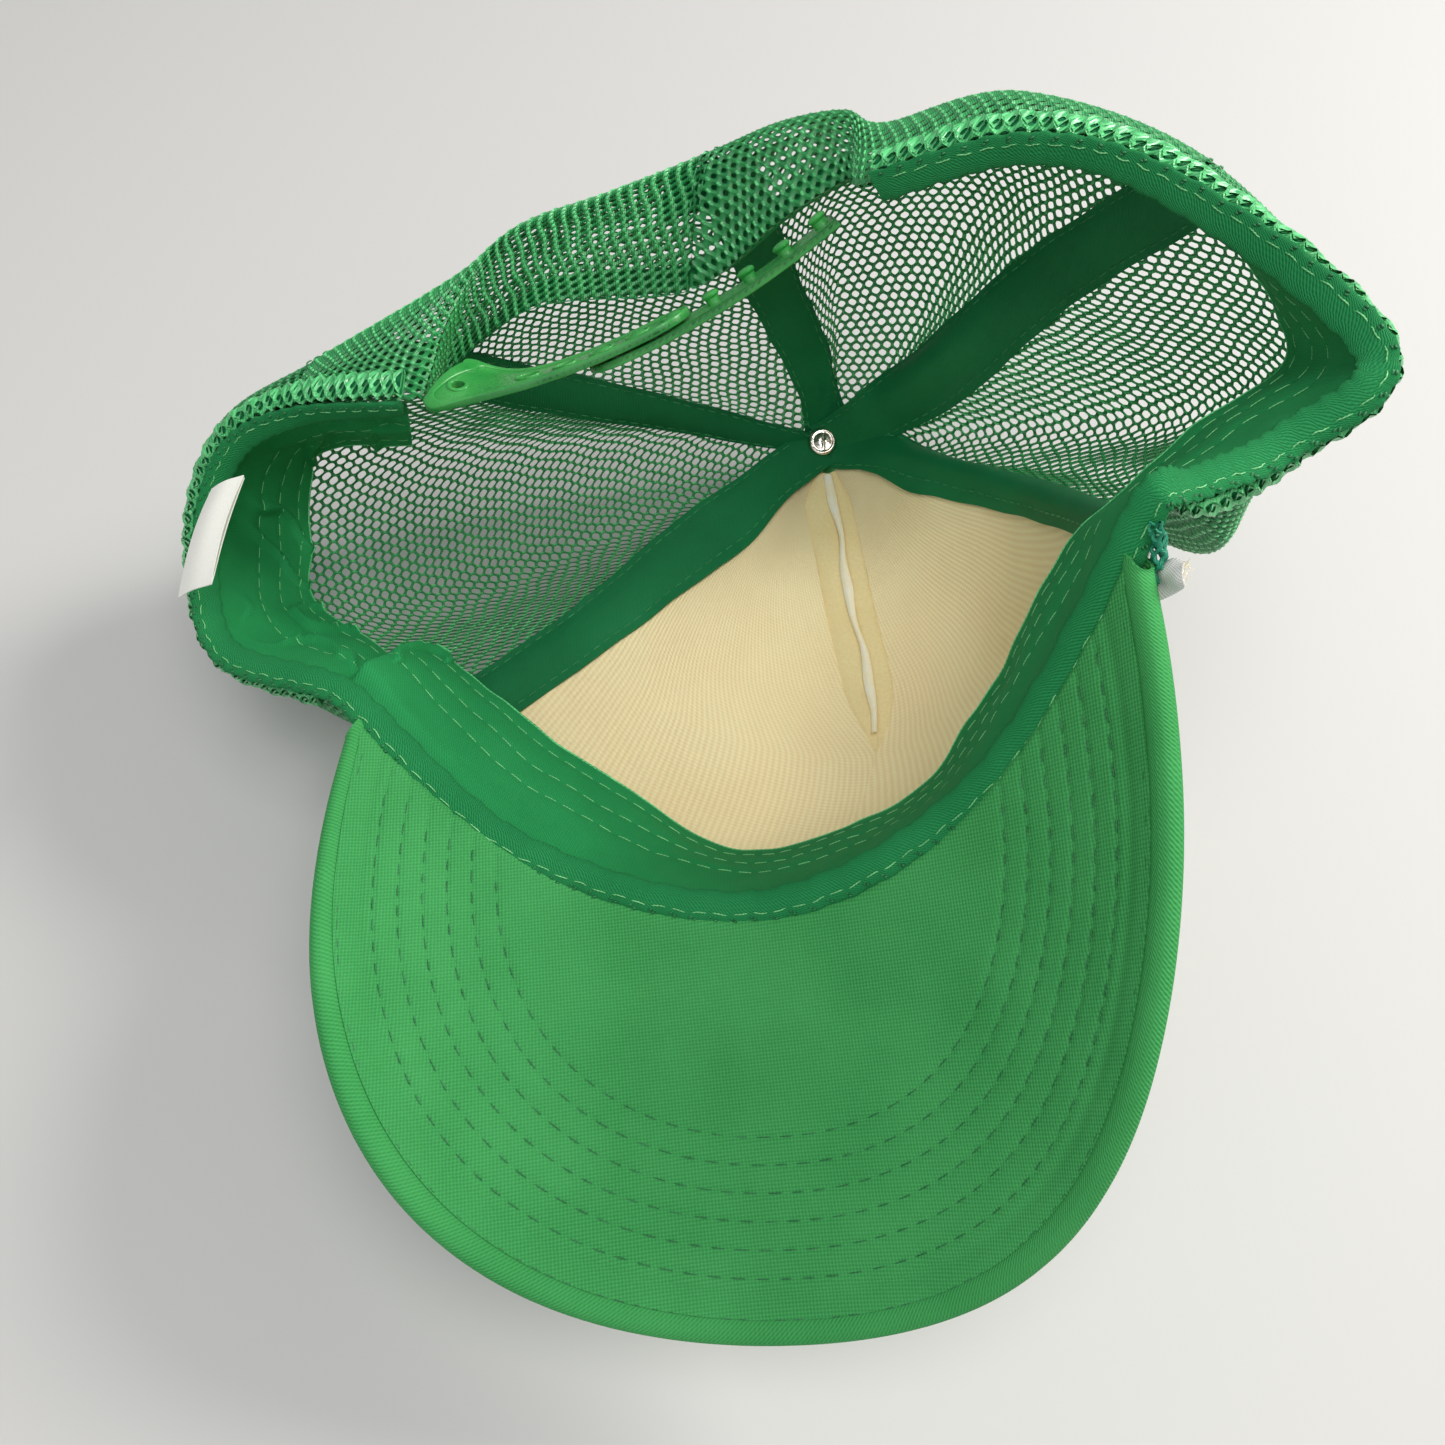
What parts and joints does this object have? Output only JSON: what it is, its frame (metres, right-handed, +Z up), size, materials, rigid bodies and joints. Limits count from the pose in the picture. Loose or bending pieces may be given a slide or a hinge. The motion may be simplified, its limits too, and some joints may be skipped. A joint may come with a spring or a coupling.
{
  "type": "trucker cap",
  "caption": "Mesh-backed cap with a curved brim, foam-lined front, sweatband and snap strap, lying on its crown.",
  "frame": {"origin": "centre of the bounding box's bottom face, on the surface the cap lies on", "axes": "+Z up from that surface, the cap lying on its crown with its opening up; -Y towards the brim; +X towards the wearer's left side as it lies"},
  "size_m": [0.2348, 0.2368, 0.1489],
  "materials": {
    "green_mesh": "glossy nylon mesh",
    "dark_tape": "matt woven tape",
    "twill": "cotton twill",
    "binding": "ribbed binding tape",
    "canvas": "plain-woven canvas",
    "brim_top": "cotton twill",
    "board": "stiff plastic sheet",
    "rope": "braided cord",
    "white_fabric": "white polyester",
    "foam": "yellowed foam",
    "scrim": "cream ribbed scrim",
    "white_thread": "white thread strip",
    "strap_plastic": "glossy moulded plastic",
    "rivet_metal": "polished steel dome",
    "label_fabric": "white woven label"
  },
  "bodies": {
    "cap": {"brim_lower_cover": "canvas", "brim_upper_cover": "brim_top", "brim_board": "board", "brim_rope": "rope", "front_fabric": "white_fabric", "front_foam": "foam", "front_lining": "scrim", "dart_thread": "white_thread", "mesh_left_side": "green_mesh", "mesh_left_rear": "green_mesh", "mesh_right_rear": "green_mesh", "mesh_right_side": "green_mesh", "tape_front_left": "dark_tape", "tape_front_right": "dark_tape", "tape_rear_left": "dark_tape", "tape_rear_right": "dark_tape", "tape_rear_centre": "dark_tape", "sweatband": "twill", "sweatband_edge": "binding", "mesh_hem_left": "green_mesh", "mesh_hem_right": "green_mesh", "arch_binding": "binding", "button_rivet": "rivet_metal", "crown_button": "brim_top"},
    "strap_left": {"strap_left": "strap_plastic"},
    "strap_right": {"strap_right": "strap_plastic"},
    "care_label": {"care_label": "label_fabric"}
  },
  "joints": [
    {"name": "strap_left_swing", "type": "hinge", "parent": "cap", "child": "strap_left", "pos_m": [-0.05607, 0.0527, 0.0788], "axis": [0.03, 0.7596, -0.6497], "range_deg": [-40, 0]},
    {"name": "strap_right_swing", "type": "hinge", "parent": "cap", "child": "strap_right", "pos_m": [0.02843, 0.0622, 0.1233], "axis": [0.03, 0.7596, -0.6497], "range_deg": [-40, 0]},
    {"name": "label_flip", "type": "hinge", "parent": "cap", "child": "care_label", "pos_m": [-0.09837, 0.0464, 0.0668], "axis": [0.9041, 0.201, 0.377], "range_deg": [-70, 0]}
  ]
}
